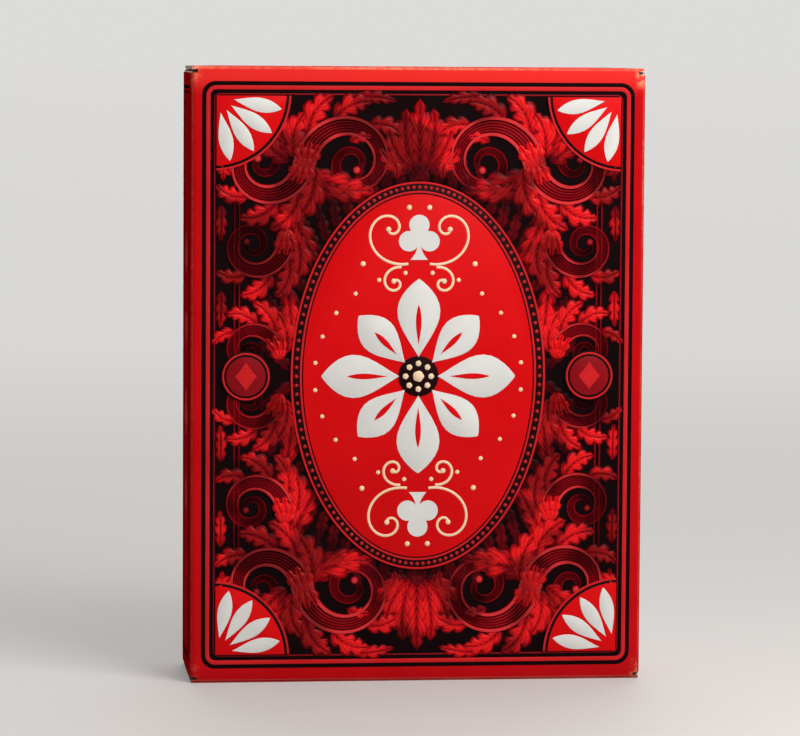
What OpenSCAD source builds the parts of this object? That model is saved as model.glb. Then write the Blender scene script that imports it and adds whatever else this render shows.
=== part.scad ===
// A deck of playing cards in its folded paperboard tuck case.
// Millimetres, +Z up, front panel towards -Y, origin at the middle of the bottom.

/* [Cards] */
// Width of a card
card_w = 63; // [55:0.5:66]
// Height of a card
card_h = 88; // [80:0.5:95]
// Thickness of a card
card_t = 0.27; // [0.2:0.01:0.33]
// Corner radius of a card
card_corner = 3.5; // [2:0.1:5]
// Air between neighbouring cards
card_air = 0.02; // [0.01:0.01:0.05]

/* [Case] */
// Thickness of the paperboard
board = 0.45; // [0.3:0.05:0.6]
// Outer radius of the upright folds
fold_r = 0.8; // [0.7:0.1:1.5]
// Room between the cards and each side panel
side_room = 1.7; // [1.2:0.1:3]
// Room between the front card and the front panel
front_room = 0.3; // [0.1:0.05:1]
// Room between the cards and the top dust flaps
head_room = 1.05; // [0.6:0.05:2]
// Air between pieces that lie flat on each other and move
fit = 0.05; // [0.02:0.01:0.1]
// Distance from the case's corner to the cut edges of the lid and the flaps
edge_room = 0.25; // [0.2:0.05:0.5]
// Width of the glued seam flap inside the right side panel
seam_w = 13; // [8:0.5:15]

/* [Lid and tongue] */
// Gap between the lid's rear fold and the rear panel
lid_gap = 0.4; // [0.3:0.05:0.8]
// Length of the tuck tongue
tongue_len = 10; // [7:0.5:11]
// Width of the tuck tongue
tongue_w = 60; // [40:1:62]
// Radius of the tongue's lower corners
tongue_corner = 6; // [2:0.5:6.5]
// Lean of the closed tongue away from the rear panel, in degrees
tongue_lean = 8; // [6:0.5:10]
// Clearance between the tip of the tongue and the rear card
tongue_room = 0.2; // [0.1:0.05:0.6]

/* [Dust flaps] */
// Length of a top dust flap
flap_len = 13; // [8:0.5:16]
// Run of a flap's slanted front edge, across for each millimetre back
flap_slant = 1.3; // [0.8:0.05:1.4]
// Distance of a flap's rear edge from the tongue's crease
flap_rear_room = 1.6; // [1.4:0.1:4]
// Length of the straight stretch of a flap's rear edge, next to its fold
flap_shoulder = 3; // [1:0.5:5]
// Distance by which a flap's rear edge slants forward towards its tip
flap_tip_back = 2.5; // [2.5:0.25:4]
// Size of the clipped corner at a flap's tip
flap_clip = 1; // [0.5:0.25:2]
// Length of a bottom dust flap
bottom_flap_len = 20; // [10:0.5:28]
// Height of the glued tab inside the foot of the rear panel
tab_h = 12; // [6:0.5:20]

/* [Thumb notch] */
// Radius of the half-round notch in the rear panel
notch_r = 11; // [8:0.5:13]
// Height of the notch's centre above the edge that it is cut from
notch_rise = 1.5; // [0:0.25:3]

/* [Hidden] */
SUITS = ["spades", "diamonds", "clubs", "hearts"];
RANKS = ["ace", "two", "three", "four", "five", "six", "seven", "eight", "nine", "ten", "jack", "queen", "king"];
CARDS = concat(
    ["joker_one"],
    [for (suit = SUITS) for (rank = RANKS) str(rank, "_of_", suit)],
    ["joker_two"]
);
CASE = ["case_sleeve", "case_bottom", "lid_panel", "tuck_tongue", "dust_flap_left", "dust_flap_right"];

$fn = 64;
cut = 1;
last_card = len(CARDS) - 1;
card_pitch = card_t + card_air;
stack_d = last_card * card_pitch + card_t;

case_w = card_w + 2 * side_room + 2 * board;
lean_d = tongue_len * sin(tongue_lean) + board * cos(tongue_lean);
case_d = 2 * board + front_room + stack_d + tongue_room + lean_d + lid_gap;
front_y = -case_d / 2;
rear_y = case_d / 2;
first_card_y = front_y + board + front_room;

floor_z = 2 * board;
flap_z = floor_z + card_h + head_room;
lid_z = flap_z + board + fit;
case_h = lid_z + board;

lid_rear_y = rear_y - board - lid_gap;
crease_y = lid_rear_y - board;
lid_w = case_w - 2 * edge_room;
inner_r = fold_r - board;
shoulder = fold_r + edge_room;
flap_front_y = front_y + shoulder;
flap_rear_y = crease_y - flap_rear_room;

paper = "#f4f1e8";
print_red = "#b5121f";

// A rectangle centred on the origin with round corners.
module rounded_rect(w, d, r) {
    square([w - 2 * r, d], center = true);
    square([w, d - 2 * r], center = true);
    for (x = [-1, 1])
        for (y = [-1, 1])
            translate([x * (w / 2 - r), y * (d / 2 - r)])
                circle(r);
}

// Section of a panel that lies flat and starts with a round fold of the board's own thickness.
module folded_section(length) {
    intersection() {
        square([length, board]);
        translate([board, 0]) {
            circle(board);
            square([length, board]);
        }
    }
}

// Section of the lid or the bottom panel, with a round fold at both ends.
module panel_section(length) {
    intersection() {
        folded_section(length);
        translate([length, 0])
            mirror([1, 0])
                folded_section(length);
    }
}

// Stands a section that is drawn in depth and height up along X, w wide.
module across(w) {
    translate([-w / 2, 0, 0])
        rotate([90, 0, 90])
            linear_extrude(w)
                children();
}

// The four upright walls, with the seam flap glued inside the right one.
module case_sleeve() {
    color(print_red)
        difference() {
            translate([0, 0, board])
                linear_extrude(lid_z - board)
                    difference() {
                        rounded_rect(case_w, case_d, fold_r);
                        rounded_rect(case_w - 2 * board, case_d - 2 * board, inner_r);
                    }
            for (x = [-1, 1])
                translate([x * case_w / 2, 0, 0])
                    side_cuts();
            translate([0, rear_y + cut, lid_z + notch_rise])
                rotate([90, 0, 0])
                    cylinder(r = notch_r, h = board + 2 * cut);
        }
    color(paper)
        seam_flap();
}

// What the blank loses at the ends of a side panel, so that the dust flaps fold in below the lid.
module side_cuts() {
    side_d = case_d + 2 * cut;
    translate([-shoulder, -side_d / 2, flap_z])
        cube([2 * shoulder, side_d, case_h]);
    translate([-shoulder, -side_d / 2, 0])
        cube([2 * shoulder, side_d, floor_z]);
}

// The flap that closes the tube, glued to the inner face of the right side panel.
module seam_flap() {
    translate([case_w / 2 - 2 * board, rear_y - fold_r - seam_w, floor_z])
        cube([board, seam_w, flap_z - floor_z]);
}

// Bottom panel, the dust flaps above it and the tab that is glued up the rear panel.
module case_bottom() {
    color(print_red)
        translate([0, front_y, board])
            mirror([0, 0, 1])
                across(lid_w)
                    panel_section(case_d);
    color(paper) {
        for (x = [0, 1])
            mirror([x, 0, 0])
                bottom_flap();
        translate([-tongue_w / 2, rear_y - 2 * board, board])
            cube([tongue_w, board, tab_h]);
    }
}

// One bottom dust flap, at the left side.
module bottom_flap() {
    flap_d = rear_y - 2 * board - fit - flap_front_y;
    translate([-case_w / 2, flap_front_y + flap_d, floor_z])
        rotate([90, 0, 0])
            linear_extrude(flap_d)
                mirror([0, 1])
                    folded_section(bottom_flap_len);
}

// The lid, folded from the top of the front panel.
module lid_panel() {
    color(print_red)
        translate([0, front_y, lid_z])
            across(lid_w)
                panel_section(lid_rear_y - front_y);
}

// The tongue, folded from the lid and leaning away from the rear panel.
module tuck_tongue() {
    color(print_red)
        translate([0, crease_y, lid_z])
            rotate([-tongue_lean, 0, 0])
                translate([0, board, 0])
                    rotate([90, 0, 0])
                        linear_extrude(board)
                            tongue_outline();
}

// Outline of the tongue: square at the crease, round at the tip.
module tongue_outline() {
    round_h = tongue_len + 2 * tongue_corner;
    intersection() {
        translate([-tongue_w / 2, -tongue_len])
            square([tongue_w, tongue_len]);
        translate([0, round_h / 2 - tongue_len])
            rounded_rect(tongue_w, round_h, tongue_corner);
    }
}

// A top dust flap, drawn for the left side.
module dust_flap() {
    color(print_red)
        intersection() {
            translate([-case_w / 2, flap_rear_y, flap_z])
                rotate([90, 0, 0])
                    linear_extrude(flap_rear_y - flap_front_y)
                        folded_section(flap_len);
            translate([-case_w / 2, 0, flap_z - cut])
                linear_extrude(board + 2 * cut)
                    flap_outline();
        }
}

// Plan of a dust flap: a slanted front edge that stays below the rising lid, a slanted rear edge
// that stays clear of the tongue, and a clipped tip.
module flap_outline() {
    slant_end = flap_front_y + flap_len / flap_slant;
    tip_y = flap_rear_y - flap_tip_back;
    polygon([
        [0, flap_front_y],
        [0, flap_rear_y],
        [flap_shoulder, flap_rear_y],
        [flap_len - flap_clip, tip_y],
        [flap_len, tip_y - flap_clip],
        [flap_len, slant_end]
    ]);
}

// One card of the deck, counted from the front panel.
module card(place) {
    color(paper)
        translate([0, first_card_y + place * card_pitch + card_t, floor_z + card_h / 2])
            rotate([90, 0, 0])
                linear_extrude(card_t)
                    rounded_rect(card_w, card_h, card_corner);
}

case_sleeve();
case_bottom();
lid_panel();
tuck_tongue();
dust_flap();  // dust_flap_left
mirror([1, 0, 0]) dust_flap();  // dust_flap_right
for (place = [0 : last_card])
    card(place);
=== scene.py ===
import math
import bmesh
import bpy
from mathutils import Matrix, Vector


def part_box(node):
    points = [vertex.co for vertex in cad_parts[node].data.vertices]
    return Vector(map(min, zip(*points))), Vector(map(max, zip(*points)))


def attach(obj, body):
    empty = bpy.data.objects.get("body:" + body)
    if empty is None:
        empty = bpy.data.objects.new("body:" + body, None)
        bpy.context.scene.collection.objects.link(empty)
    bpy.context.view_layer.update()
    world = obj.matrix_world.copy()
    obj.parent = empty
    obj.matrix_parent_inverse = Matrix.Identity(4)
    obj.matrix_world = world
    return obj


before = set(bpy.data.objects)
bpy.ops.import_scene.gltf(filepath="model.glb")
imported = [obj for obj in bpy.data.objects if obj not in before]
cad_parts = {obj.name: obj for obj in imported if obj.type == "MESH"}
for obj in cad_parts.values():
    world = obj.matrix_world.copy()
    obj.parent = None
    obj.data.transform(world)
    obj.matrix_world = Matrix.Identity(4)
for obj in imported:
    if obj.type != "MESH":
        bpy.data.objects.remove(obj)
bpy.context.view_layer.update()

# Sleeve.
# The tube of the tuck case: one sheet of clay-coated paperboard, printed red outside and left white inside.
# It is scored and folded round four upright creases, and a seam flap is glued inside the right panel.
mm = 0.001
sleeve_low, sleeve_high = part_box("case_sleeve")
case_w = sleeve_high.x - sleeve_low.x
case_d = sleeve_high.y - sleeve_low.y
case_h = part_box("lid_panel")[1].z
fold_r = 0.8 * mm
print_depth = 0.05 * mm
rolled_end = 3.0 * mm
rolled_slope = 0.16
fibre_height = 0.006 * mm
bare_roughness = 0.86


def srgb(red, green, blue):
    shares = [channel / 255 for channel in (red, green, blue)]
    linear = [share / 12.92 if share < 0.0405 else ((share + 0.055) / 1.055) ** 2.4 for share in shares]
    return (*linear, 1.0)


def is_socket(value):
    return isinstance(value, bpy.types.NodeSocket)


def feed(node, inputs):
    for key, value in inputs.items():
        if is_socket(value):
            node.id_data.links.new(value, node.inputs[key])
        else:
            node.inputs[key].default_value = value


def node_in(tree, kind, inputs=None, **settings):
    node = tree.nodes.new(kind)
    for key, value in settings.items():
        setattr(node, key, value)
    feed(node, inputs or {})
    return node


def calc(operation, a, b=0.0, c=0.0):
    tree = next(value.id_data for value in (a, b, c) if is_socket(value))
    return node_in(tree, "ShaderNodeMath", {0: a, 1: b, 2: c}, operation=operation).outputs[0]


def product(*factors):
    result = factors[0]
    for factor in factors[1:]:
        result = calc("MULTIPLY", result, factor)
    return result


# Inputs 6 and 7 of a mix node are its two colours, and output 2 is the mixed one.
def mixed(factor, a, b):
    return node_in(factor.id_data, "ShaderNodeMix", {0: factor, 6: a, 7: b}, data_type="RGBA").outputs[2]


def ramp(value, low, high, to_low=0.0, to_high=1.0):
    inputs = {"Value": value, "From Min": low, "From Max": high, "To Min": to_low, "To Max": to_high}
    return node_in(value.id_data, "ShaderNodeMapRange", inputs, interpolation_type="SMOOTHSTEP").outputs[0]


def object_place(tree):
    return node_in(tree, "ShaderNodeTexCoord").outputs["Object"]


def object_xyz(tree):
    return node_in(tree, "ShaderNodeSeparateXYZ", {"Vector": object_place(tree)}).outputs


def noise(tree, scale, detail, roughness=0.5):
    inputs = {"Vector": object_place(tree), "Scale": scale, "Detail": detail, "Roughness": roughness}
    return node_in(tree, "ShaderNodeTexNoise", inputs).outputs[0]


def from_mid_height(z):
    return calc("ABSOLUTE", calc("SUBTRACT", z, case_h / 2))


def new_group(name, inputs, outputs):
    group = bpy.data.node_groups.new(name, "ShaderNodeTree")
    for socket, value in inputs.items():
        given = group.interface.new_socket(socket, in_out="INPUT", socket_type="NodeSocketFloat")
        given.default_value = value
    for socket in outputs:
        group.interface.new_socket(socket, in_out="OUTPUT", socket_type="NodeSocketFloat")
    return group, group.nodes.new("NodeGroupInput").outputs, group.nodes.new("NodeGroupOutput").inputs


def place_group(tree, group, **inputs):
    return node_in(tree, "ShaderNodeGroup", inputs, node_tree=group).outputs


def new_finish(name):
    material = bpy.data.materials.new(name)
    material.use_nodes = True
    return material, material.node_tree, material.node_tree.nodes["Principled BSDF"]


def embossed(height, strength, distance):
    inputs = {"Height": height, "Strength": strength, "Distance": distance}
    return node_in(height.id_data, "ShaderNodeBump", inputs).outputs[0]


# Fibres pressed into the sheet: a fine height and a slow tone.
def make_board_grain():
    tree, given, made = new_group("board_grain", {"Fineness": 2600.0}, ["Height", "Tone"])
    fibres = noise(tree, given["Fineness"], 3.0, 0.65)
    clouds = noise(tree, calc("MULTIPLY", given["Fineness"], 0.06), 4.0)
    tree.links.new(fibres, made["Height"])
    tree.links.new(clouds, made["Tone"])
    return tree


# Ink rubbed thin where the sheet is bent: along every edge of the case's box, broken up by two noises, and in
# wider scuffs at the corners.
# It is made stronger to the right and the top, where the light falls, and in full along the top edge, where
# the pale ink is a painted highlight of the fold: partly real wear, partly painted highlight.
def make_edge_wear_and_highlight():
    tree, given, made = new_group("edge_wear_and_highlight", {"Amount": 0.6}, ["Worn"])
    x, y, z = object_xyz(tree)
    off_x = calc("SUBTRACT", calc("ABSOLUTE", x), case_w / 2)
    off_y = calc("SUBTRACT", calc("ABSOLUTE", y), case_d / 2)
    off_z = calc("SUBTRACT", from_mid_height(z), case_h / 2)
    nearer = calc("MINIMUM", off_x, off_y)
    further = calc("MAXIMUM", off_x, off_y)
    edge_gap = calc("MAXIMUM", nearer, calc("MINIMUM", further, off_z))
    edge_near = ramp(edge_gap, -0.5 * mm, -0.2 * mm)
    # More to the right and the top, where the light falls, and in full along the top edge: there the pale ink
    # is a painted highlight of the fold.
    rightward = ramp(x, -case_w / 2, case_w / 2, 0.35, 1.0)
    upward = ramp(z, 0.0, case_h, 0.4, 1.0)
    top_edge = ramp(z, case_h - 1.2 * mm, case_h - 0.6 * mm)
    handled_and_lit = calc("MAXIMUM", product(rightward, upward), top_edge)
    rub = noise(tree, 1300.0, 3.0)
    rubbed = ramp(rub, 0.35, 0.65, 0.35, 1.0)
    patched = ramp(noise(tree, 55.0, 1.0), 0.4, 0.64, 0.4, 1.0)
    worn_and_lit_edge = product(edge_near, given["Amount"], handled_and_lit, rubbed, patched)
    end_near = ramp(off_z, -3.4 * mm, -1.4 * mm)
    side_near = ramp(off_x, -1.9 * mm, -0.7 * mm)
    face_near = ramp(off_y, -1.9 * mm, -0.7 * mm)
    scuff = ramp(rub, 0.44, 0.56, 0.1, 0.9)
    scuffed_corner = product(end_near, side_near, face_near, handled_and_lit, scuff)
    tree.links.new(calc("MAXIMUM", worn_and_lit_edge, scuffed_corner), made["Worn"])
    return tree


board_grain = make_board_grain()
edge_wear_and_highlight = make_edge_wear_and_highlight()
ink_tones = srgb(184, 4, 14), srgb(208, 10, 20)
# Lighter red for the painted highlight near the top of the front and rear faces.
top_highlight_ink = srgb(246, 54, 48)
trim_ink = srgb(16, 3, 6)
# Pale peach for rubbed ink and for the painted highlight along the top fold.
rubbed_and_highlight_ink = srgb(250, 166, 128)
board_tones = srgb(214, 209, 198), srgb(236, 232, 222)
# Dark red for the painted shade on the bare board at the foot.
foot_shade_board = srgb(112, 24, 26)


# Board with print where outside() gives 1, and bare board elsewhere. A bump rolls the ends of the case over.
def printed_board(name, outside, trim=None):
    material, tree, shader = new_finish(name)
    x, y, z = object_xyz(tree)
    printed = outside(x, y, z)
    grain = place_group(tree, board_grain)
    # The ink near the top of the front and rear faces is painted lighter: a painted highlight of the rolled
    # top.
    near_top = ramp(z, case_h - 1.5 * rolled_end, case_h - 0.4 * rolled_end, 0.0, 0.65)
    near_face = ramp(calc("ABSOLUTE", y), case_d / 2 - 1.4 * mm, case_d / 2 - 0.4 * mm)
    ink = mixed(grain["Tone"], *ink_tones)
    ink = mixed(product(near_top, near_face), ink, top_highlight_ink)
    if trim:
        ink = mixed(trim(x, y), ink, trim_ink)
    # Pale peach ink where the group gives it: rubbed ink at the edges and corners, and a painted highlight
    # along the top fold.
    ink = mixed(place_group(tree, edge_wear_and_highlight)["Worn"], ink, rubbed_and_highlight_ink)
    bare = mixed(grain["Tone"], *board_tones)
    # The bare board turns dark red towards the foot, below 2 mm: painted shade.
    bare = mixed(ramp(z, 0.9 * mm, 2.0 * mm, 0.8, 0.0), bare, foot_shade_board)
    ink_roughness = calc("MULTIPLY_ADD", grain["Tone"], 0.14, 0.4)
    smoother = product(printed, calc("SUBTRACT", bare_roughness, ink_roughness))
    broad = calc("LESS_THAN", calc("ABSOLUTE", x), case_w / 2 - 0.3 * fold_r)
    varnish = calc("MULTIPLY_ADD", grain["Tone"], 0.1, 0.08)
    past_flat = calc("SUBTRACT", from_mid_height(z), case_h / 2 - rolled_end)
    rolled = calc("POWER", calc("MAXIMUM", past_flat, 0.0), 2.0)
    drop = calc("MULTIPLY", rolled, -rolled_slope / rolled_end)
    height = calc("MULTIPLY_ADD", grain["Height"], fibre_height, drop)
    feed(shader, {
        "Base Color": mixed(printed, bare, ink),
        "Roughness": calc("SUBTRACT", bare_roughness, smoother),
        "Specular IOR Level": 0.0,
        "Coat Weight": product(printed, broad, varnish),
        "Coat Roughness": 0.3,
        "Normal": embossed(height, 1.0, 1.0),
    })
    return material


def sleeve_outside(x, y, z):
    squares = []
    for place, half in ((x, case_w / 2), (y, case_d / 2)):
        over = calc("SUBTRACT", calc("ABSOLUTE", place), half - fold_r)
        squares.append(calc("POWER", calc("MAXIMUM", over, 0.0), 2.0))
    reach = calc("SQRT", calc("ADD", *squares))
    return calc("GREATER_THAN", reach, fold_r - print_depth)


def dress(node, material):
    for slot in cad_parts[node].material_slots:
        slot.material = material


dress("case_sleeve", printed_board("sleeve_board", sleeve_outside))

# Bottom.
# The bottom panel is the foot of the same sheet: folded under, with two dust flaps above it and a tab glued
# up inside the rear panel. Only its lower face is printed, with a black line round it.
lid_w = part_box("lid_panel")[1].x * 2
bottom_skin = 0.4 * mm
bottom_line_edges = (2.2 * mm, 2.65 * mm)


def uncut(x):
    return calc("LESS_THAN", calc("ABSOLUTE", x), lid_w / 2 - print_depth)


def bottom_outside(x, y, z):
    return product(calc("LESS_THAN", z, bottom_skin), uncut(x))


def bottom_line(x, y):
    beyond = []
    for inset in bottom_line_edges:
        over_x = calc("GREATER_THAN", calc("ABSOLUTE", x), case_w / 2 - inset)
        over_y = calc("GREATER_THAN", calc("ABSOLUTE", y), case_d / 2 - inset)
        beyond.append(calc("MAXIMUM", over_x, over_y))
    return calc("SUBTRACT", beyond[1], beyond[0])


dress("case_bottom", printed_board("bottom_board", bottom_outside, bottom_line))

# Front panel's ground and frame lines.
# The print starts with a black field inside a red border. A raised line of red foil runs round it, and a hair
# line follows inside; both are stamped into the sheet, so they stand a little proud of it.
field_half_w, field_half_h = 30.35, 41.65
ground_margin, ground_corner, ground_top = 1.65, 2.0, 0.02
print_foot = -0.1
line_soft = 0.06
weld_gap = 0.0004
plate_angle, round_angle = 40, 60
# Print is drawn flat in millimetres, with Z as its height, and then stood up on its panel.
stand_up = Matrix.Rotation(math.pi / 2, 4, "X") @ Matrix.Scale(mm, 4)
front = Matrix.Translation((0, -case_d / 2, case_h / 2)) @ stand_up
rear = Matrix.Rotation(math.pi, 4, "Z") @ front


def ink_finish(name, dark, light, rough=0.4, gloss=0.08, fineness=2700.0):
    material, tree, shader = new_finish(name)
    grain = place_group(tree, board_grain, Fineness=fineness)
    feed(shader, {
        "Base Color": mixed(grain["Tone"], dark, light),
        "Roughness": calc("MULTIPLY_ADD", grain["Tone"], 0.14, rough - 0.07),
        "Specular IOR Level": gloss,
        "Normal": embossed(grain["Height"], 0.15, 0.03 * mm),
    })
    return material


def weld(bm):
    bmesh.ops.remove_doubles(bm, verts=bm.verts[:], dist=weld_gap)


def new_object(name, data):
    made = bpy.data.objects.new(name, data)
    bpy.context.scene.collection.objects.link(made)
    return made


def put(name, bm, place, material, body, smooth=None):
    weld(bm)
    bmesh.ops.recalc_face_normals(bm, faces=bm.faces[:])
    mesh = bpy.data.meshes.new(name)
    bm.to_mesh(mesh)
    bm.free()
    mesh.transform(place)
    mesh.materials.append(material)
    if smooth:
        mesh.shade_smooth()
        mesh.set_sharp_from_angle(angle=math.radians(smooth))
    piece = new_object(name, mesh)
    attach(piece, body)


def put_both(name, bm, material, smooth=None):
    put("rear_" + name, bm.copy(), rear, material, "case", smooth)
    put("front_" + name, bm, front, material, "case", smooth)


def flat_rect(bm, half_w, half_h, corner):
    face = bmesh.ops.create_grid(bm, x_segments=1, y_segments=1, size=1.0)["verts"]
    bmesh.ops.scale(bm, vec=(half_w, half_h, 1), verts=face)
    bmesh.ops.bevel(bm, geom=face, offset=corner, segments=6, profile=0.5, affect="VERTICES", material=-1)


def cut_to_ring(bm, width):
    core = bm.faces[:]
    bmesh.ops.inset_region(bm, faces=core, thickness=width, use_boundary=True, use_even_offset=True)
    bmesh.ops.delete(bm, geom=core, context="FACES")


def new_line(half_w, half_h, corner, width):
    bm = bmesh.new()
    flat_rect(bm, half_w, half_h, corner)
    cut_to_ring(bm, width)
    return bm


def raise_plate(bm, low, high, soft=0.0):
    lifted = bmesh.ops.extrude_face_region(bm, geom=bm.faces[:])["geom"]
    top = {v for v in lifted if isinstance(v, bmesh.types.BMVert)}
    for v in bm.verts:
        v.co.z = v.co.z + high if v in top else low
    if soft:
        faces = {f for f in lifted if isinstance(f, bmesh.types.BMFace)}
        rim = [e for e in bm.edges if e.verts[0] in top and e.verts[1] in top
               and sum(f in faces for f in e.link_faces) == 1]
        bmesh.ops.bevel(bm, geom=rim, offset=soft, segments=2, profile=0.5, affect="EDGES", material=-1)


field_black = ink_finish("field_black", srgb(5, 1, 2), srgb(20, 3, 6), 0.55, 0.04, fineness=4500.0)
line_red = ink_finish("line_red", srgb(192, 18, 27), srgb(218, 42, 44))
hair_red = ink_finish("hair_red", srgb(112, 6, 16), srgb(158, 14, 26))

ground = bmesh.new()
flat_rect(ground, field_half_w + ground_margin, field_half_h + ground_margin, ground_corner)
raise_plate(ground, print_foot, ground_top)
put("front_ground", ground, front, field_black, "case")
# Each frame line: name, distance out from the field, corner radius, width, rise and ink.
frame_lines = (("frame_line", 1.05, 1.5, 0.62, 0.16, line_red),
               ("hair_line", -0.1, 0.9, 0.22, 0.08, hair_red))
for name, out, corner, width, rise, ink in frame_lines:
    line = new_line(field_half_w + out, field_half_h + out, corner, width)
    raise_plate(line, print_foot, rise, line_soft)
    put("front_" + name, line, front, ink, "case", smooth=plate_angle)

# Front scrollwork.
# Scrolling leaf ornament of the kind long used on card backs, printed crimson on black and embossed from
# behind. One quarter is drawn, four ribbed volutes with leaves along their outer side, and mirrored.
strand_steps, strand_rise, strand_taper = 64, 0.02, 0.8
eye_share, eye_flatness = 0.4, 0.5
husk_leans, husk_back, husk_rise = (-26, 0, 26), 1.0, 0.62
husk_least, husk_growth, husk_share, husk_curl, husk_spread = 2.4, 1.3, 0.7, 14, 0.6
sprout_foot, sprout_bend, sprout_share, sprout_rise = 0.8, 70, 0.27, 0.42
rule_places, rule_ends, rule_rise, rule_r = (26.5, 27.2), (3.0, 29.0), 0.06, 0.16
loose_rise, leaf_sheet = 0.36, 0.12
vein_pace, vein_slant = 50.3, 26.0
# The ribs of a volute, each by its place across and its radius, in shares of the half width.
strand_profile = ((-0.82, 0.26), (-0.42, 0.15), (-0.14, 0.15), (0.14, 0.15), (0.42, 0.15), (0.82, 0.26))
# Each volute: start, heading, turn, first and last radius, sweep, half width, and its leaves. Each of those
# has its share of the volute's length, its own length and its lean.
volutes = (
    ((17.0, 31.3), 97, 1, 7.2, 1.2, 600, 1.75,
     ((0.02, 7.4, 34), (0.12, 7.4, 40), (0.23, 6.6, 42), (0.35, 5.6, 45), (0.47, 4.2, 45))),
    ((17.0, 31.5), 277, 1, 6.2, 1.0, 580, 1.75,
     ((0.03, 8.6, 26), (0.13, 8.0, 38), (0.24, 6.6, 42), (0.36, 5.4, 45), (0.48, 4.2, 45))),
    ((19.7, 20.8), 262, 1, 5.2, 0.9, 580, 1.45,
     ((0.01, 7.6, 26), (0.12, 7.0, 38), (0.24, 6.0, 42), (0.37, 4.8, 45))),
    ((20.7, 3.4), 84, -1, 4.4, 0.8, 560, 1.25,
     ((0.01, 6.8, 26), (0.13, 6.2, 38), (0.26, 5.2, 42), (0.40, 4.0, 45))),
)
# Each loose leaf: start, heading, length, bend and half width.
loose_leaves = (
    ((0.8, 30.2), 66, 9.6, 34, 2.1), ((1.2, 30.2), 42, 7.6, 40, 1.8), ((1.6, 30.0), 18, 6.0, 45, 1.5),
    ((18.9, 32.6), 62, 9.0, 20, 2.2), ((19.4, 31.6), 30, 6.6, 35, 1.8), ((29.3, 34.0), 262, 5.4, 8, 1.1),
    ((16.4, 29.8), 208, 10.5, -28, 2.3), ((14.6, 27.6), 196, 7.5, -34, 1.8),
    ((18.8, 24.4), 250, 8.6, -14, 1.9), ((19.4, 13.2), 262, 8.6, 6, 1.7), ((29.2, 25.2), 268, 5.6, 6, 1.0),
    ((29.2, 12.6), 268, 5.6, 6, 1.0), ((10.4, 34.6), 150, 3.6, 40, 1.0), ((9.2, 41.2), 178, 6.0, 20, 1.1),
)
top_leaf = ((0, 30.0), 90, 11.0, 0, 2.4)


def ahead(angle):
    return Vector((math.cos(angle), math.sin(angle)))


def leftward(angle):
    return Vector((-math.sin(angle), math.cos(angle)))


def volute_line(start, heading, turn, r_start, r_end, sweep):
    step = math.radians(sweep) * (r_start - r_end) / math.log(r_start / r_end) / strand_steps
    spot = Vector(start)
    angle = math.radians(heading)
    line = []
    for i in range(strand_steps + 1):
        radius = r_start + (r_end - r_start) * i / strand_steps
        line.append((spot.copy(), angle, (radius / r_start) ** strand_taper))
        angle += turn * step / radius
        spot += step * ahead(angle)
    return line


def add_strand(curve, points):
    spline = curve.splines.new("POLY")
    spline.points.add(len(points) - 1)
    for point, (spot, rise, radius) in zip(spline.points, points):
        point.co = (*spot, rise, 1.0)
        point.radius = radius
    return spline


def curve_mesh(curve, bm):
    holder = new_object(curve.name, curve)
    bpy.context.view_layer.update()
    mesh = bpy.data.meshes.new_from_object(holder.evaluated_get(bpy.context.evaluated_depsgraph_get()))
    bm.from_mesh(mesh)
    bpy.data.objects.remove(holder)
    bpy.data.meshes.remove(mesh)


def new_round_curve(name):
    curve = bpy.data.curves.new(name, "CURVE")
    curve.dimensions = "3D"
    curve.bevel_depth = 1.0
    curve.bevel_resolution = 1
    curve.use_fill_caps = True
    return curve


def all_of(bm):
    return bm.verts[:] + bm.edges[:] + bm.faces[:]


def mirror_across(bm, axes="XY"):
    for axis in axes:
        bmesh.ops.mirror(bm, geom=all_of(bm), matrix=Matrix.Identity(4), merge_dist=0.0, axis=axis)


def add_bead(bm, spot, radius, flatness, fineness=1):
    place = Matrix.Translation(spot) @ Matrix.Diagonal((1, 1, flatness, 1))
    bmesh.ops.create_icosphere(bm, subdivisions=fineness, radius=radius, matrix=place)


# A leaf is a grid bent along an arc. Its edge has lobes, its midrib is sunk, and folds run in between lobes.
def add_leaf(bm, start, heading, length, bend, half_w, rise):
    fine = length > 5
    lobes = 4 if fine else 3
    rows = 8 if fine else 6
    leaf = bmesh.ops.create_grid(bm, x_segments=5 * lobes, y_segments=rows, size=1.0, calc_uvs=True)["verts"]
    bend = math.radians(bend)
    heading = math.radians(heading)
    for v in leaf:
        along = (v.co.x + 1) / 2
        side = v.co.y
        reach = along + 0.13 * abs(side) * math.sin(math.pi * along)
        angle = heading + bend * reach
        chord = length * reach * (1 - (bend * reach) ** 2 / 24)
        spine = Vector(start) + chord * ahead(heading + bend * reach / 2)
        lobe = abs(math.sin(lobes * math.pi * along)) ** 0.7
        swell = max(0.03, math.sin(math.pi * min(1.0, along + 0.02) ** 0.7) ** 0.8)
        spread = half_w * swell * (0.62 + 0.42 * lobe) * side
        crown = math.sin(math.pi * (0.06 + 0.9 * along)) ** 0.5 * (1 - 0.85 * side ** 4)
        midrib = 1 - 0.5 * math.exp(-(side / 0.16) ** 2)
        fold = 1 - 0.42 * (1 - lobe) * abs(side)
        edge_x = spine.x - math.sin(angle) * spread
        edge_y = spine.y + math.cos(angle) * spread
        v.co = (edge_x, edge_y, rise * crown * midrib * fold)
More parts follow.
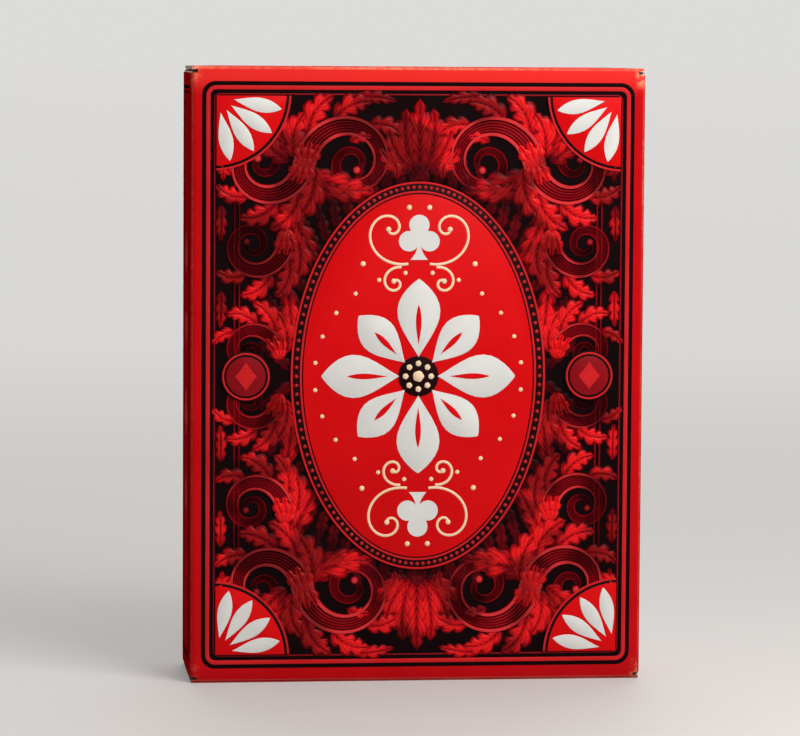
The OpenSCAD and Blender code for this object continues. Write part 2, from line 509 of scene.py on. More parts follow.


# Ink on embossing, with painted shade and highlight, by the height above the panel in millimetres: the low
# colour in the hollows is painted shade, the middle one on the slopes is the ink, and the high one on the
# crests is a painted highlight.
# Veins slant from the midrib of a leaf, and broad patches fade to the low colour.
def relief_ink_and_shade(name, low, middle, high, crest, veined):
    material, tree, shader = new_finish(name)
    grain = place_group(tree, board_grain, Fineness=2400.0)
    above = calc("SUBTRACT", calc("ABSOLUTE", object_xyz(tree)["Y"]), case_d / 2)
    mottle = calc("SUBTRACT", grain["Tone"], 0.5)
    rise = calc("MULTIPLY_ADD", mottle, 0.14, calc("MULTIPLY", above, 1 / mm))
    # Painted shade in the hollows and painted highlight on the crests, by height.
    colour = mixed(ramp(rise, 0.03, 0.2), low, middle)
    colour = mixed(ramp(rise, 0.2, crest), colour, high)
    if veined:
        leaf_map = node_in(tree, "ShaderNodeTexCoord").outputs["UV"]
        along, across, _ = node_in(tree, "ShaderNodeSeparateXYZ", {"Vector": leaf_map}).outputs
        aside = calc("ABSOLUTE", calc("SUBTRACT", across, 0.5))
        slant = calc("MULTIPLY", aside, vein_slant)
        wave = calc("SINE", calc("SUBTRACT", calc("MULTIPLY", along, vein_pace), slant))
        vein = product(ramp(wave, 0.5, 0.95), ramp(rise, 0.1, 0.4, 0.9, 0.4))
        colour = mixed(vein, colour, low)
    patches = ramp(noise(tree, 150.0, 1.0), 0.42, 0.58, 0.66, 0.0)
    feed(shader, {
        "Base Color": mixed(patches, colour, low),
        "Roughness": calc("MULTIPLY_ADD", grain["Tone"], 0.16, 0.34),
        "Specular IOR Level": 0.04,
        "Coat Weight": ramp(rise, 0.15, 0.42, 0.0, 0.12),
        "Coat Roughness": 0.25,
        "Normal": embossed(grain["Height"], 0.2, 0.03 * mm),
    })
    return material


def new_leaf_mesh():
    bm = bmesh.new()
    bm.loops.layers.uv.new("leaf")
    return bm


def scrollwork(lines, leaves):
    curve = new_round_curve("scroll_strands")
    leaf_bm = new_leaf_mesh()
    eyes = []
    for start, heading, turn, r_start, r_end, sweep, half_w, sprouts in lines:
        line = volute_line(start, heading, turn, r_start, r_end, sweep)
        for across, thick in strand_profile:
            points = []
            for spot, angle, scale in line:
                place = spot + turn * across * half_w * scale * leftward(angle)
                points.append((place, strand_rise, half_w * thick * scale))
            add_strand(curve, points)
        eyes.append((line[-1][0], half_w * eye_share))
        husk_foot = line[0][0] - husk_back * ahead(line[0][1])
        husk_length = husk_least + husk_growth * half_w
        husk_half_w = husk_share * half_w
        for lean in husk_leans:
            husk_bend = turn * husk_curl - lean * husk_spread
            add_leaf(leaf_bm, husk_foot, heading + lean, husk_length, husk_bend, husk_half_w, husk_rise)
        for along, length, lean in sprouts:
            spot, angle, scale = line[int(along * strand_steps)]
            foot = spot - turn * half_w * sprout_foot * scale * leftward(angle)
            outward = math.degrees(angle) - turn * lean
            add_leaf(leaf_bm, foot, outward, length, turn * sprout_bend, length * sprout_share, sprout_rise)
    for leaf in leaves:
        add_leaf(leaf_bm, *leaf, loose_rise)
    for x in rule_places:
        add_strand(curve, [(Vector((x, y)), rule_rise, rule_r) for y in rule_ends])
    bmesh.ops.solidify(leaf_bm, geom=leaf_bm.faces[:], thickness=leaf_sheet)
    strand_bm = bmesh.new()
    curve_mesh(curve, strand_bm)
    for spot, radius in eyes:
        add_bead(strand_bm, (*spot, 0), radius, eye_flatness, fineness=2)
    return strand_bm, leaf_bm


scroll_tones = srgb(10, 1, 3), srgb(132, 6, 18), srgb(216, 52, 56)
leaf_tones = srgb(20, 1, 4), srgb(164, 6, 18), srgb(242, 26, 30)
scroll_crimson = relief_ink_and_shade("scroll_crimson", *scroll_tones, crest=0.34, veined=False)
leaf_red = relief_ink_and_shade("leaf_red", *leaf_tones, crest=0.36, veined=True)
scroll_bm, leaf_bm = scrollwork(volutes, loose_leaves + (top_leaf,))
mirror_across(scroll_bm)
mirror_across(leaf_bm)
put("front_scrolls", scroll_bm, front, scroll_crimson, "case", smooth=round_angle)
put("front_leaves", leaf_bm, front, leaf_red, "case", smooth=round_angle)

# Wreath round the medallion.
# Small leaves printed dark crimson behind the scrolls and embossed lower than they are. All point towards the
# top and the bottom of the oval.
wreath_count = 15
wreath_half_w, wreath_half_h = 18.6, 28.4
wreath_lean, wreath_bend, wreath_sheet = 28, 34, 0.1
# Each row: distance out from the first, leaf length, half width and rise.
wreath_rows = ((0.0, 4.6, 1.1, 0.26), (2.6, 3.6, 0.8, 0.2))


def wreath_quarter(last_angle=90):
    bm = new_leaf_mesh()
    for row, (out, length, half_w, rise) in enumerate(wreath_rows):
        for i in range(wreath_count):
            a = math.radians(90 * (i + 0.35 + 0.5 * row) / wreath_count)
            if a < math.radians(last_angle):
                foot = Vector(((wreath_half_w + out) * math.cos(a), (wreath_half_h + out) * math.sin(a)))
                outward = math.degrees(math.atan2(math.sin(a) / wreath_half_h, math.cos(a) / wreath_half_w))
                add_leaf(bm, foot, outward + wreath_lean, length, wreath_bend, half_w, rise)
    bmesh.ops.solidify(bm, geom=bm.faces[:], thickness=wreath_sheet)
    return bm


wreath_tones = srgb(12, 1, 3), srgb(100, 4, 14), srgb(172, 22, 32)
wreath_crimson = relief_ink_and_shade("wreath_crimson", *wreath_tones, crest=0.44, veined=True)
wreath = wreath_quarter()
mirror_across(wreath)
put("front_wreath", wreath, front, wreath_crimson, "case", smooth=round_angle)

# Front medallion.
# A bright red oval with a beaded rim, in the middle of the scrollwork, stamped higher than the leaves.
# The rear panel carries the same one, so each of its pieces is put on both.
oval_half_w, oval_half_h, oval_points = 18.9, 28.7, 128
rim_top, plate_top = 0.36, 0.44
bead_count, bead_r, bead_inset, bead_flatness = 132, 0.34, 0.82, 0.6


def flat_circle(bm, points, radius=1.0, centre=(0, 0, 0)):
    place = Matrix.Translation(centre)
    return bmesh.ops.create_circle(bm, cap_ends=True, segments=points, radius=radius, matrix=place)["verts"]


def flat_oval(bm, half_w, half_h):
    flat_circle(bm, oval_points)
    bmesh.ops.scale(bm, vec=(half_w, half_h, 1), verts=bm.verts[:])


def add_bead_ring(bm, count, first, half_w, half_h, rise, radius, flatness):
    for k in range(count):
        a = 2 * math.pi * (k + first) / count
        add_bead(bm, (half_w * math.cos(a), half_h * math.sin(a), rise), radius, flatness)


medallion_red = ink_finish("medallion_red", srgb(208, 4, 10), srgb(226, 10, 16))
rim_dark = ink_finish("rim_dark", srgb(10, 2, 4), srgb(36, 4, 8), rough=0.5, gloss=0.06)
bead_red = ink_finish("bead_red", srgb(150, 14, 26), srgb(206, 52, 56))

# Each layer: name, inset from the oval's edge, width where it is a ring, foot, top, soft edge and ink.
oval_layers = (
    ("medallion_rim", 0.0, 0.0, print_foot, rim_top, 0.08, rim_dark),
    ("medallion_outline", 0.0, 0.3, 0.1, 0.46, line_soft, line_red),
    ("medallion_inline", 1.35, 0.3, 0.1, 0.46, line_soft, line_red),
    ("medallion_plate", 1.85, 0.0, 0.1, plate_top, line_soft, medallion_red),
)
for name, inset, width, foot, top, soft, ink in oval_layers:
    oval = bmesh.new()
    flat_oval(oval, oval_half_w - inset, oval_half_h - inset)
    if width:
        cut_to_ring(oval, width)
    raise_plate(oval, foot, top, soft)
    put_both(name, oval, ink, plate_angle)
beads = bmesh.new()
add_bead_ring(beads, bead_count, 0, oval_half_w - bead_inset, oval_half_h - bead_inset, rim_top, bead_r,
              bead_flatness)
put_both("medallion_beads", beads, bead_red, round_angle)

# White print on the front.
# A rosette of eight petals in the oval, and a quarter rosette in each corner of the field, printed opaque
# white with cream dots, on the raised red ground.
white_ink = ink_finish("white_ink", srgb(214, 213, 210), srgb(232, 231, 228), rough=0.42, gloss=0.2)
cream_ink = ink_finish("cream_ink", srgb(240, 206, 168), srgb(252, 226, 192), rough=0.42, gloss=0.2)
white_foot, white_top, white_soft = plate_top - 0.1, plate_top + 0.06, 0.04
petal_count, petal_points, petal_root = 8, 32, 2.8
rib_root, rib_half_w, rib_top, rib_soft = 4.6, 0.42, plate_top + 0.09, 0.02
# Long and short petals take turns. Each: tip, half width, and tip of its rib.
petal_sizes = ((14.4, 3.2, 10.6), (12.6, 2.7, 9.2))
fan_count, fan_root, fan_tip, fan_half_w = 4, 2.4, 9.6, 1.05
fan_inset, fan_foot, fan_top = 0.55, 0.3, 0.48
dot_count, dot_reach, dot_r, dot_flatness = 24, 15.4, 0.36, 0.35
seed_count, seed_reach, seed_r, middle_seed_r, seed_z = 8, 1.9, 0.5, 0.95, plate_top + 0.04
heart_r, heart_top, heart_soft = 3.0, plate_top + 0.05, 0.03
corner_margin, disc_soft = 0.45, 0.05
pip_size, pip_y = 6.4, 20.4
tendril_r, tendril_flatness, curl_r = 0.19, 0.4, 0.4


def add_petal(bm, inner, outer, half_w, angle):
    petal = flat_circle(bm, petal_points)
    for v in petal:
        t = (v.co.y + 1) / 2
        swell = max(0.0, math.sin(math.pi * t ** 1.3)) ** 0.85
        v.co = (math.copysign(half_w, v.co.x) * swell, inner + (outer - inner) * t, 0)
    bmesh.ops.rotate(bm, verts=petal, cent=(0, 0, 0), matrix=Matrix.Rotation(angle - math.pi / 2, 3, "Z"))


petals = bmesh.new()
ribs = bmesh.new()
for k in range(petal_count):
    angle = 2 * math.pi * k / petal_count
    tip, half_w, rib_tip = petal_sizes[k % 2]
    add_petal(petals, petal_root, tip, half_w, angle)
    add_petal(ribs, rib_root, rib_tip, rib_half_w, angle)
raise_plate(petals, white_foot, white_top, white_soft)
put_both("rosette_petals", petals, white_ink, plate_angle)
raise_plate(ribs, plate_top, rib_top, rib_soft)
put_both("rosette_ribs", ribs, medallion_red, plate_angle)


def keep_in_field(bm):
    for axis, half in (((1, 0, 0), field_half_w), ((0, 1, 0), field_half_h)):
        edge = Vector(axis) * (half - corner_margin)
        bmesh.ops.bisect_plane(bm, geom=all_of(bm), plane_co=edge, plane_no=axis, clear_outer=True)


# Round layers on each other, each by its name, radius, width where it is a ring, rise and ink.
def put_discs(layers, centre, points, axes):
    for name, radius, width, rise, ink in layers:
        disc = bmesh.new()
        flat_circle(disc, points, radius, centre)
        if width:
            cut_to_ring(disc, width)
        keep_in_field(disc)
        raise_plate(disc, print_foot, rise, disc_soft)
        mirror_across(disc, axes)
        put_both(name, disc, ink, plate_angle)


corner_layers = (("corner_rims", 11.4, 0.0, 0.36, rim_dark), ("corner_lines", 11.4, 0.3, 0.44, line_red),
                 ("corner_plates", 10.7, 0.0, 0.42, medallion_red))
put_discs(corner_layers, (field_half_w, field_half_h, 0), 96, "XY")
fans = bmesh.new()
for k in range(fan_count):
    add_petal(fans, fan_root, fan_tip, fan_half_w, math.radians(180 + 90 * (k + 0.5) / fan_count))
bmesh.ops.translate(fans, vec=(field_half_w - fan_inset, field_half_h - fan_inset, 0), verts=fans.verts[:])
raise_plate(fans, fan_foot, fan_top, white_soft)
mirror_across(fans)
put_both("corner_petals", fans, white_ink, plate_angle)

dots = bmesh.new()
add_bead_ring(dots, dot_count, 0.5, dot_reach, dot_reach, plate_top, dot_r, dot_flatness)
put_both("rosette_dots", dots, cream_ink, round_angle)

heart = bmesh.new()
flat_oval(heart, heart_r, heart_r)
raise_plate(heart, white_foot, heart_top, heart_soft)
put_both("rosette_heart", heart, rim_dark, plate_angle)
seeds = bmesh.new()
add_bead(seeds, (0, 0, seed_z), middle_seed_r, dot_flatness)
add_bead_ring(seeds, seed_count, 1, seed_reach, seed_reach, seed_z, seed_r, dot_flatness)
put_both("rosette_seeds", seeds, cream_ink, round_angle)


# The outlines of the suit signs, about one unit high: each moves a point of a circle to the edge of its sign.
def diamond_edge(x, y):
    a = math.atan2(y, x)
    reach = 0.5 / (abs(math.cos(a)) ** 0.86 / 0.78 + abs(math.sin(a)) ** 0.86)
    return reach * math.cos(a), reach * math.sin(a)


def club_edge(x, y):
    leaf_r, leaf_out, neck = 0.235, 0.262, 0.12
    a = math.atan2(y, x)
    reach = neck
    for leaf in (90, 205, 335):
        turn = a - math.radians(leaf)
        across = leaf_r ** 2 - (leaf_out * math.sin(turn)) ** 2
        if across > 0 and math.cos(turn) > 0:
            reach = max(reach, leaf_out * math.cos(turn) + math.sqrt(across))
    return reach * math.cos(a), reach * math.sin(a) + 0.04


def heart_edge(x, y):
    a = math.atan2(x, y)
    wide = 16 * math.sin(a) ** 3
    tall = 13 * math.cos(a) - 5 * math.cos(2 * a) - 2 * math.cos(3 * a) - math.cos(4 * a)
    return wide / 36, (tall + 2.5) / 33


def spade_edge(x, y):
    wide, tall = heart_edge(x, y)
    return wide, 0.08 - tall


# Each suit sign: its outline, the points round it, and whether it has a stem.
suit_signs = {"spade": (spade_edge, 48, True), "heart": (heart_edge, 48, False),
              "club": (club_edge, 96, True), "diamond": (diamond_edge, 48, False)}


def add_pip(bm, suit, size, spot, upside_down=False):
    edge, points, stemmed = suit_signs[suit]
    sign = flat_circle(bm, points)
    for v in sign:
        v.co = (*edge(v.co.x, v.co.y), 0)
    if stemmed:
        stem = bmesh.ops.create_grid(bm, x_segments=1, y_segments=6, size=1.0)["verts"]
        for v in stem:
            t = (v.co.y + 1) / 2
            v.co = (v.co.x * (0.035 + 0.17 * (1 - t) ** 2.4), -0.5 + 0.42 * t, -0.006)
        sign += stem
    bmesh.ops.scale(bm, vec=(size, -size if upside_down else size, 1), verts=sign)
    bmesh.ops.translate(bm, vec=(*spot, 0), verts=sign)


pips = bmesh.new()
add_pip(pips, "club", pip_size, (0, pip_y))
add_pip(pips, "club", pip_size, (0, -pip_y), upside_down=True)
raise_plate(pips, white_foot, white_top)
put_both("medallion_pips", pips, white_ink)
# Each tendril: start, heading, turn, first and last radius, and sweep.
tendril_lines = (((1.6, 16.6), -10, 1, 6.0, 0.45, 470), ((2.6, 16.1), 8, -1, 2.6, 0.4, 420))
tendril_curve = new_round_curve("tendrils")
berries = []
for tendril in tendril_lines:
    spots = [place[0] for place in volute_line(*tendril)]
    add_strand(tendril_curve, [(spot, plate_top, tendril_r) for spot in spots])
    berries.append(spots[-1])
berries += [Vector((1.5, 24.9)), Vector((8.3, 16.6))]
tendrils = bmesh.new()
curve_mesh(tendril_curve, tendrils)
for spot in berries:
    add_bead(tendrils, (*spot, plate_top), curl_r, 1, fineness=2)
mirror_across(tendrils)
for v in tendrils.verts:
    v.co.z = plate_top + (v.co.z - plate_top) * tendril_flatness
put_both("tendrils", tendrils, cream_ink, round_angle)

# Side bosses of the front.
# A small dark red boss at the middle of each long side of the field, where the volutes meet, stamped in three
# layers with a diamond on top.
boss_x, boss_pip_size, boss_pip_foot, boss_pip_top = 25.5, 4.2, 0.4, 0.52
boss_layers = (("boss_rims", 3.7, 0.0, 0.4, rim_dark), ("boss_lines", 3.5, 0.28, 0.5, line_red),
               ("boss_plates", 2.9, 0.0, 0.46, hair_red))
put_discs(boss_layers, (boss_x, 0, 0), 48, "X")
boss_pips = bmesh.new()
for side in (1, -1):
    add_pip(boss_pips, "diamond", boss_pip_size, (boss_x * side, 0))
raise_plate(boss_pips, boss_pip_foot, boss_pip_top, white_soft)
put_both("boss_pips", boss_pips, line_red, plate_angle)

# Side panels.
# Each side is red with a black line and a hair line round it, and the four suits of the deck down its middle.
# Flat print, so it hardly stands out from the sheet.
side_frame_half_w, side_frame_half_h = 7.4, 42.6
side_suit_size = 6.6
suit_pitch = 12.0
flat_rise, flat_soft = 0.05, 0.02
panel_corner = 1.5
# Each line: name, inset and width.
panel_lines = (("frame", 0.0, 0.45), ("hair_line", 0.9, 0.2))


def line_panel(side, half_w, half_h, place, ink, body):
    for name, inset, width in panel_lines:
        line = new_line(half_w - inset, half_h - inset, panel_corner - inset, width)
        raise_plate(line, print_foot, flat_rise, flat_soft)
        put(f"{side}_{name}", line, place, ink, body, smooth=plate_angle)


def print_suits(side, size, step, place, ink, body):
    suits = bmesh.new()
    for k, suit in enumerate(suit_signs):
        add_pip(suits, suit, size, (k - 1.5) * step)
    raise_plate(suits, print_foot, flat_rise)
    put(f"{side}_suits", suits, place, ink, body)


line_black = ink_finish("line_black", srgb(12, 3, 5), srgb(30, 5, 9), rough=0.5, gloss=0.0)
side_red = ink_finish("side_red", srgb(216, 52, 50), srgb(232, 74, 66), rough=0.5, gloss=0.0)
for side, turn in (("left", -1), ("right", 1)):
    panel = (Matrix.Rotation(turn * math.pi / 2, 4, "Z") @ Matrix.Translation((0, -case_w / 2, case_h / 2))
             @ stand_up)
    line_panel(side, side_frame_half_w, side_frame_half_h, panel, line_black, "case")
    print_suits(side, side_suit_size, Vector((0, -suit_pitch)), panel, side_red, "case")

# Rear panel.
# The rear repeats the card-back style of the front. Its frame bends round the half-round thumb notch at the
# top, and the scrollwork there gives way to a garland of small leaves along the notch.
notch_r, notch_z = 11.0, 91.95
notch_y = notch_z - case_h / mm / 2
notch_margin = 2.2
notch_room = notch_r + notch_margin + ground_margin
corner_steps, notch_steps = 10, 40
garland_count = 10
garland_lean, garland_bend, garland_share = 26, 18, 0.26
# Turn round the notch, reach from its centre and length of the first leaves, each with its growth.
garland_run = ((3, 6.4), (16.3, 0.14), (2.7, 0.22))
# On the notch's half, loose leaves stay only beyond this place, and the wreath ends at this angle.
clear_x, wreath_end = 18, 70
# Leaves beside the notch, given like the loose leaves.
notch_leaves = (
    ((16.4, 32.4), 74, 6.2, 16, 1.4), ((15.4, 31.2), 196, 6.8, -20, 1.5),
    ((14.8, 30.4), 216, 7.4, -16, 1.6), ((15.0, 32.2), 100, 4.2, -14, 1.2), ((18.4, 35.6), 84, 5.4, 10, 1.3),
)


def notched_loop(half_w, half_h, corner, reach):
    loop = []
    for side, end, first in ((-1, 1, 90), (-1, -1, 180), (1, -1, 270), (1, 1, 0)):
        for i in range(corner_steps + 1):
            a = math.radians(first + 90 * i / corner_steps)
            x = side * (half_w - corner) + corner * math.cos(a)
            y = end * (half_h - corner) + corner * math.sin(a)
            loop.append((x, y))
    half = math.acos((notch_y - half_h) / reach)
    for i in range(notch_steps + 1):
        a = -math.pi / 2 + half - 2 * half * i / notch_steps
        loop.append((reach * math.cos(a), notch_y + reach * math.sin(a)))
    return loop


def flat_outline(name, loops):
    curve = bpy.data.curves.new(name, "CURVE")
    curve.dimensions = "2D"
    curve.fill_mode = "BOTH"
    for loop in loops:
        add_strand(curve, [(spot, 0.0, 1.0) for spot in loop]).use_cyclic_u = True
    bm = bmesh.new()
    curve_mesh(curve, bm)
    weld(bm)
    return bm


def notched_plate(name, out, corner, width, rise, ink):
    loops = []
    for inset in (0.0, width) if width else (0.0,):
        edge = out - inset
        loop = notched_loop(field_half_w + edge, field_half_h + edge, corner - inset, notch_room - edge)
        loops.append(loop)
    plate = flat_outline(name, loops)
    raise_plate(plate, print_foot, rise)
    put(name, plate, rear, ink, "case")


def add_mesh(bm, other, turn):
    mesh = bpy.data.meshes.new("added")
    other.to_mesh(mesh)
    mesh.transform(turn)
    bm.from_mesh(mesh)
    bpy.data.meshes.remove(mesh)


notched_plate("rear_ground", ground_margin, ground_corner, 0.0, ground_top, field_black)
for name, *line in frame_lines:
    notched_plate("rear_" + name, *line)

lower_strands, lower_leaf_bm = scrollwork(volutes, loose_leaves + (top_leaf,))
upper_leaves = [leaf for leaf in loose_leaves if leaf[0][0] > clear_x]
upper_leaves += notch_leaves
for k in range(garland_count):
    bearing, reach, length = (first + growth * k for first, growth in garland_run)
    a = math.radians(bearing)
    spot = (reach * math.sin(a), notch_y - reach * math.cos(a))
    for side in (1, -1):
        heading = bearing + side * garland_lean
        upper_leaves.append((spot, heading, length, -side * garland_bend, garland_share * length))
upper_strands, upper_leaf_bm = scrollwork(volutes[1:], upper_leaves)
rear_layers = (("rear_scrolls", lower_strands, upper_strands, scroll_crimson),
               ("rear_leaves", lower_leaf_bm, upper_leaf_bm, leaf_red),
               ("rear_wreath", wreath_quarter(), wreath_quarter(wreath_end), wreath_crimson))
for name, lower, upper, ink in rear_layers:
    bmesh.ops.scale(lower, vec=(1, -1, 1), verts=lower.verts[:])
    add_mesh(lower, upper, Matrix.Identity(4))
    upper.free()
    mirror_across(lower, "X")
    put(name, lower, rear, ink, "case", smooth=round_angle)

# Lid, tongue and dust flaps.
# The lid is folded back from the front panel and ends in the tongue, which tucks in behind the rear panel.
# The dust flaps fold in from the sides below it. All are printed outside and bare inside.
lid_low, lid_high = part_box("lid_panel")
flap_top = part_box("dust_flap_left")[1].z
tongue_lean = math.radians(8)
front_skin, flap_skin, tongue_skin = 0.01 * mm, 0.25 * mm, 0.1 * mm
lid_frame_half_w, lid_frame_half_d = 31.0, 7.0
lid_suit_size = 6.0


def lid_outside(x, y, z):
    above = calc("GREATER_THAN", z, lid_low.z + print_depth)
    before = calc("LESS_THAN", y, lid_low.y + front_skin)
    return product(calc("MAXIMUM", above, before), uncut(x))


def flap_outside(x, y, z):
    return calc("GREATER_THAN", z, flap_top - flap_skin)


def tongue_outside(x, y, z):
    across = calc("ADD", calc("MULTIPLY", y, math.cos(tongue_lean)),
                  calc("MULTIPLY", z, -math.sin(tongue_lean)))
    face = lid_high.y * math.cos(tongue_lean) - lid_low.z * math.sin(tongue_lean)
    return calc("GREATER_THAN", across, face - tongue_skin)


dress("lid_panel", printed_board("lid_board", lid_outside))
flap_board = printed_board("flap_board", flap_outside)
dress("dust_flap_left", flap_board)
dress("dust_flap_right", flap_board)
dress("tuck_tongue", printed_board("tongue_board", tongue_outside))
lid_mid = (lid_low.y + lid_high.y) / 2
lid_place = Matrix.Translation((0, lid_mid, lid_high.z)) @ Matrix.Scale(mm, 4)
line_panel("lid", lid_frame_half_w, lid_frame_half_d, lid_place, line_red, "lid")
print_suits("lid", lid_suit_size, Vector((suit_pitch, 0)), lid_place, line_red, "lid")

# Cards.
# Fifty-two cards and two jokers, cut from laminated white stock with a linen finish. All share one back: a
# lattice in red inside a white border.
cards = [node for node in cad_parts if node.startswith("joker") or "_of_" in node]
card_low, card_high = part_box("joker_one")
card_pitch = (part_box("joker_two")[0].y - card_low.y) / (len(cards) - 1)
card_mid_z = (card_low.z + card_high.z) / 2
card_half_w = (card_high.x - card_low.x) / 2
card_half_h = (card_high.z - card_low.z) / 2
paper_tones = srgb(232, 229, 221), srgb(244, 242, 236)
aged_paper = srgb(206, 198, 182)
back_red = srgb(172, 8, 20)
back_margins = (4.2 * mm, 3.8 * mm, 3.0 * mm)
back_share = 0.94
lattice_pace = 1571.0
linen_pace = 12000.0


# The same material serves every card: a card's place in the deck follows from its depth in the case.
def make_card_stock():
    material, tree, shader = new_finish("card_stock")
    x, y, z = object_xyz(tree)
    grain = place_group(tree, board_grain, Fineness=3200.0)
    behind_first = calc("SUBTRACT", y, card_low.y - 0.01 * mm)
    place_in_deck = calc("DIVIDE", behind_first, card_pitch)
    card_number = calc("FLOOR", place_in_deck)
    age = node_in(tree, "ShaderNodeTexWhiteNoise", {"W": card_number}, noise_dimensions="1D").outputs["Value"]
    paper = mixed(grain["Tone"], *paper_tones)
    paper = mixed(calc("MULTIPLY", age, 0.35), paper, aged_paper)
    up = calc("SUBTRACT", z, card_mid_z)
    rising = calc("SINE", calc("MULTIPLY", calc("ADD", x, up), lattice_pace))
    falling = calc("SINE", calc("MULTIPLY", calc("SUBTRACT", x, up), lattice_pace))
    lattice = ramp(product(rising, falling), 0.02, 0.1)
    inside = []
    for margin in back_margins:
        in_width = calc("LESS_THAN", calc("ABSOLUTE", x), card_half_w - margin)
        in_height = calc("LESS_THAN", calc("ABSOLUTE", up), card_half_h - margin)
        inside.append(product(in_width, in_height))
    edge_line = calc("SUBTRACT", inside[2], inside[1])
    inked = calc("MULTIPLY_ADD", inside[0], lattice, edge_line)
    on_back = calc("GREATER_THAN", calc("FRACT", place_in_deck), back_share)
    warp = calc("SINE", calc("MULTIPLY", x, linen_pace))
    weft = calc("SINE", calc("MULTIPLY", z, linen_pace))
    feed(shader, {
        "Base Color": mixed(product(inked, on_back), paper, back_red),
        "Roughness": calc("MULTIPLY_ADD", grain["Tone"], 0.12, 0.42),
        "Specular IOR Level": 0.3,
        "Normal": embossed(product(warp, weft), 0.2, 0.02 * mm),
    })
    return material


card_stock = make_card_stock()
for card in cards:
    dress(card, card_stock)

# Card faces.
# Each face is printed with an index in two corners and its suit signs in the usual rows. Aces and court cards
# carry one large sign, the court cards in a frame, and the jokers a star.
face_red = ink_finish("face_red", srgb(176, 8, 22), srgb(196, 18, 30), rough=0.46, gloss=0.25)
face_black = ink_finish("face_black", srgb(16, 15, 17), srgb(30, 28, 31), rough=0.46, gloss=0.25)
ink_rise, ink_foot = 0.008, -0.03
index_x, index_y, index_size = -26.6, 36.0, 8.4
index_pip_size, index_pip_drop = 6.0, 7.6
sign_size, large_sign_size = 11.0, 22.0
index_star_size, large_star_size, star_points, star_waist = 7.0, 24.0, 5, 0.42
court_half_w, court_half_h, court_corner, court_line = 19.6, 34.0, 1.0, 0.4
column_x, top_y, upper_y = 13.0, 28.0, 9.4
top_pair = ((-column_x, top_y), (column_x, top_y))
upper_pair = ((-column_x, upper_y), (column_x, upper_y))
middle_pair = ((-column_x, 0.0), (column_x, 0.0))
centre = ((0.0, 0.0),)
top_single, half_single, ten_single = ((0.0, top_y),), ((0.0, top_y / 2),), ((0.0, 18.7),)
# Signs that the other half of the card repeats upside down, and signs that stand once, by the card's value.
paired = {2: top_single, 3: top_single, 4: top_pair, 5: top_pair, 6: top_pair, 7: top_pair,
          8: top_pair + half_single, 9: top_pair + upper_pair, 10: top_pair + upper_pair + ten_single}
upright = {1: centre, 3: centre, 5: centre, 6: middle_pair, 7: middle_pair + half_single, 8: middle_pair,
           9: centre, 11: centre, 12: centre, 13: centre}
ranks = "ace two three four five six seven eight nine ten jack queen king".split()
marks = "A 2 3 4 5 6 7 8 9 10 J Q K".split()


def add_star(bm, size, spot):
    star = flat_circle(bm, 2 * star_points, size / 2)
    for v in star[1::2]:
        v.co *= star_waist
    bmesh.ops.translate(bm, vec=(*spot, 0), verts=star)


def add_index(bm, mark):
    curve = bpy.data.curves.new("index", "FONT")
    curve.body = mark
    curve.size = index_size
    curve.resolution_u = 3
    curve.align_x = "CENTER"
    curve.align_y = "CENTER"
    glyph = bmesh.new()
    curve_mesh(curve, glyph)
    weld(glyph)
    bmesh.ops.beautify_fill(glyph, faces=glyph.faces[:], edges=glyph.edges[:])
    add_mesh(bm, glyph, Matrix.Translation((index_x, index_y, 0)))
    glyph.free()


def add_court_frame(bm):
    border = new_line(court_half_w, court_half_h, court_corner, court_line)
    add_mesh(bm, border, Matrix.Identity(4))
    border.free()


def turn_to_other_half(bm):
    add_mesh(bm, bm, Matrix.Rotation(math.pi, 4, "Z"))


def put_face(card, bm, ink):
    weld(bm)
    raise_plate(bm, ink_foot, ink_rise)
    face = Matrix.Translation((0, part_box(card)[0].y, card_mid_z)) @ stand_up
    put(card + "_face", bm, face, ink, card)


for plural, suit, ink in (("spades", "spade", face_black), ("diamonds", "diamond", face_red),
                          ("clubs", "club", face_black), ("hearts", "heart", face_red)):
    for value, (rank, mark) in enumerate(zip(ranks, marks), 1):
        court = value > 10
        face_bm = bmesh.new()
        add_index(face_bm, mark)
        add_pip(face_bm, suit, index_pip_size, (index_x, index_y - index_pip_drop))
        for spot in paired.get(value, ()):
            add_pip(face_bm, suit, sign_size, spot)
        turn_to_other_half(face_bm)
        for spot in upright.get(value, ()):
            add_pip(face_bm, suit, large_sign_size if court or value == 1 else sign_size, spot)
        if court:
            add_court_frame(face_bm)
        put_face(f"{rank}_of_{plural}", face_bm, ink)
for joker, ink in (("joker_one", face_red), ("joker_two", face_black)):
    face_bm = bmesh.new()
    add_star(face_bm, index_star_size, (index_x, index_y))
    turn_to_other_half(face_bm)
    add_star(face_bm, large_star_size, (0, 0))
    put_face(joker, face_bm, ink)

# Studio.
# A pale floor, soft lamps from above and in front, and the camera where the photograph was taken from.
# Floor and world look brighter than the light that they cast, so the black print keeps its depth.
floor_r, floor_points = 20.0, 96
floor_grey, floor_glow = srgb(186, 184, 182), srgb(255, 254, 252)
floor_roughness = 0.7
sky_tint, sky_light, sky_extra = (1.0, 0.99, 0.968, 1.0), 0.17, 0.55
# Each lamp: name, kind, place in metres, size in metres or angle in radians, power and tint.
lamps = (
    ("key_lamp", "AREA", (0.10, -0.17, 0.215), 0.16, 0.56, (1.0, 0.97, 0.94)),
    ("top_lamp", "AREA", (0.04, 0.10, 0.40), 0.22, 0.2, (1.0, 0.92, 0.84)),
    ("fill_lamp", "SUN", (0.35, -0.6, 0.55), 1.0, 0.5, (1.0, 1.0, 1.0)),
    ("rear_lamp", "SUN", (0.1, 0.6, 0.4), 1.0, 0.8, (1.0, 1.0, 1.0)),
)
camera_turns = ((0.37, "Y"), (4.69, "X"), (6.47, "Z"))
aim_offset = Vector((2.66, 575.3, -1.18)) * mm
sensor_width, picture_width, focal_pixels = 36, 800, 3895


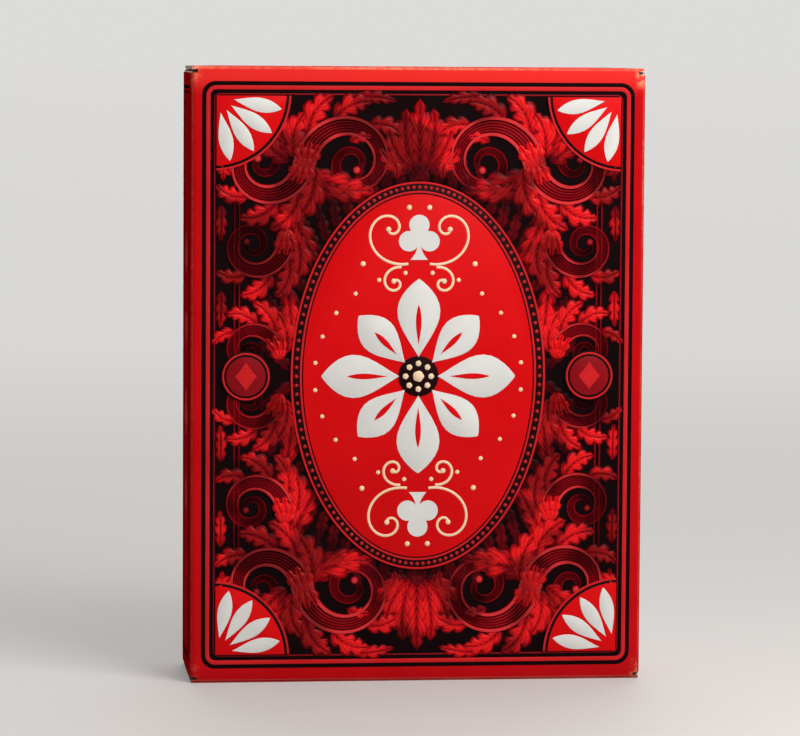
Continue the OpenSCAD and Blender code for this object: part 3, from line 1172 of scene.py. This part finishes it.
def seen_directly(tree):
    rays = node_in(tree, "ShaderNodeLightPath").outputs
    mirrored = calc("MAXIMUM", rays["Is Glossy Ray"], rays["Is Transmission Ray"])
    return calc("MAXIMUM", rays["Is Camera Ray"], mirrored)


floor_paint, tree, shader = new_finish("floor_paint")
away = node_in(tree, "ShaderNodeVectorMath", {0: object_place(tree)}, operation="LENGTH").outputs["Value"]
glow = product(seen_directly(tree), ramp(away, 0.0, 0.7, 0.15, 0.34))
feed(shader, {"Base Color": floor_grey, "Roughness": floor_roughness, "Emission Color": floor_glow,
              "Emission Strength": glow})
floor_bm = bmesh.new()
flat_circle(floor_bm, floor_points, floor_r)
floor_mesh = bpy.data.meshes.new("floor")
floor_bm.to_mesh(floor_mesh)
floor_bm.free()
floor_mesh.materials.append(floor_paint)
floor = new_object("floor", floor_mesh)

world = bpy.data.worlds.new("studio")
world.use_nodes = True
tree = world.node_tree
sky_strength = calc("MULTIPLY_ADD", seen_directly(tree), sky_extra, sky_light)
feed(tree.nodes["Background"], {"Color": sky_tint, "Strength": sky_strength})
bpy.context.scene.world = world
middle = Vector((0, 0, case_h / 2))
for name, kind, spot, size, power, tint in lamps:
    lamp = bpy.data.lights.new(name, kind)
    lamp.energy = power
    lamp.color = tint
    if kind == "AREA":
        lamp.size = size
    else:
        lamp.angle = size
    lamp_object = new_object(name, lamp)
    lamp_object.location = spot
    lamp_object.rotation_euler = (middle - Vector(spot)).to_track_quat("-Z", "Y").to_euler()
    lamp_object.visible_camera = False

turn = Matrix.Identity(3)
for angle, axis in camera_turns:
    turn = turn @ Matrix.Rotation(math.radians(angle), 3, axis)
aim = Vector((0, -case_d / 2, case_h / 2))
view_from = aim - turn.transposed() @ aim_offset
lens = bpy.data.cameras.new("camera")
lens.lens = sensor_width * focal_pixels / picture_width
lens.clip_start = 0.01
camera = new_object("camera", lens)
camera.matrix_world = (Matrix.Translation(view_from)
                       @ (turn.transposed() @ Matrix.Rotation(math.pi / 2, 3, "X")).to_4x4())
bpy.context.scene.camera = camera
bpy.context.scene.view_settings.view_transform = "Standard"
